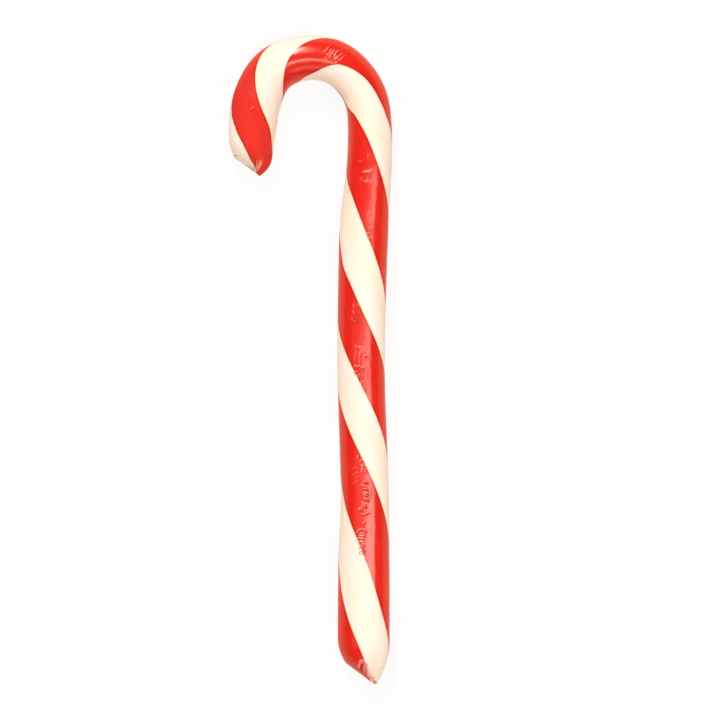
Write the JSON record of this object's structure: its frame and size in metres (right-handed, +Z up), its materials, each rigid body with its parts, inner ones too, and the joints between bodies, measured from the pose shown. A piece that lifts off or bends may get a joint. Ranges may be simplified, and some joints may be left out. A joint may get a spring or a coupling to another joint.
{
  "type": "candy cane",
  "caption": "Candy cane: a twisted rod of red and cream hard candy, bent into a hook at one end and pinched off at a slant at both, lying on its side.",
  "frame": {"origin": "under the middle of the cane's outline, on the surface that it lies on", "axes": "+Y from the lower tip to the top of the hook, +Z up out of the surface it lies on, +X away from the side that the hook points to"},
  "size_m": [0.0384, 0.1516, 0.0112],
  "materials": {
    "striped_candy": "glossy boiled sugar, smooth and slightly see-through, in two red and two cream bands that wind round the rod, with small dents and wrinkles along the top"
  },
  "bodies": {
    "root": {"candy_cane": "striped_candy"}
  },
  "joints": []
}
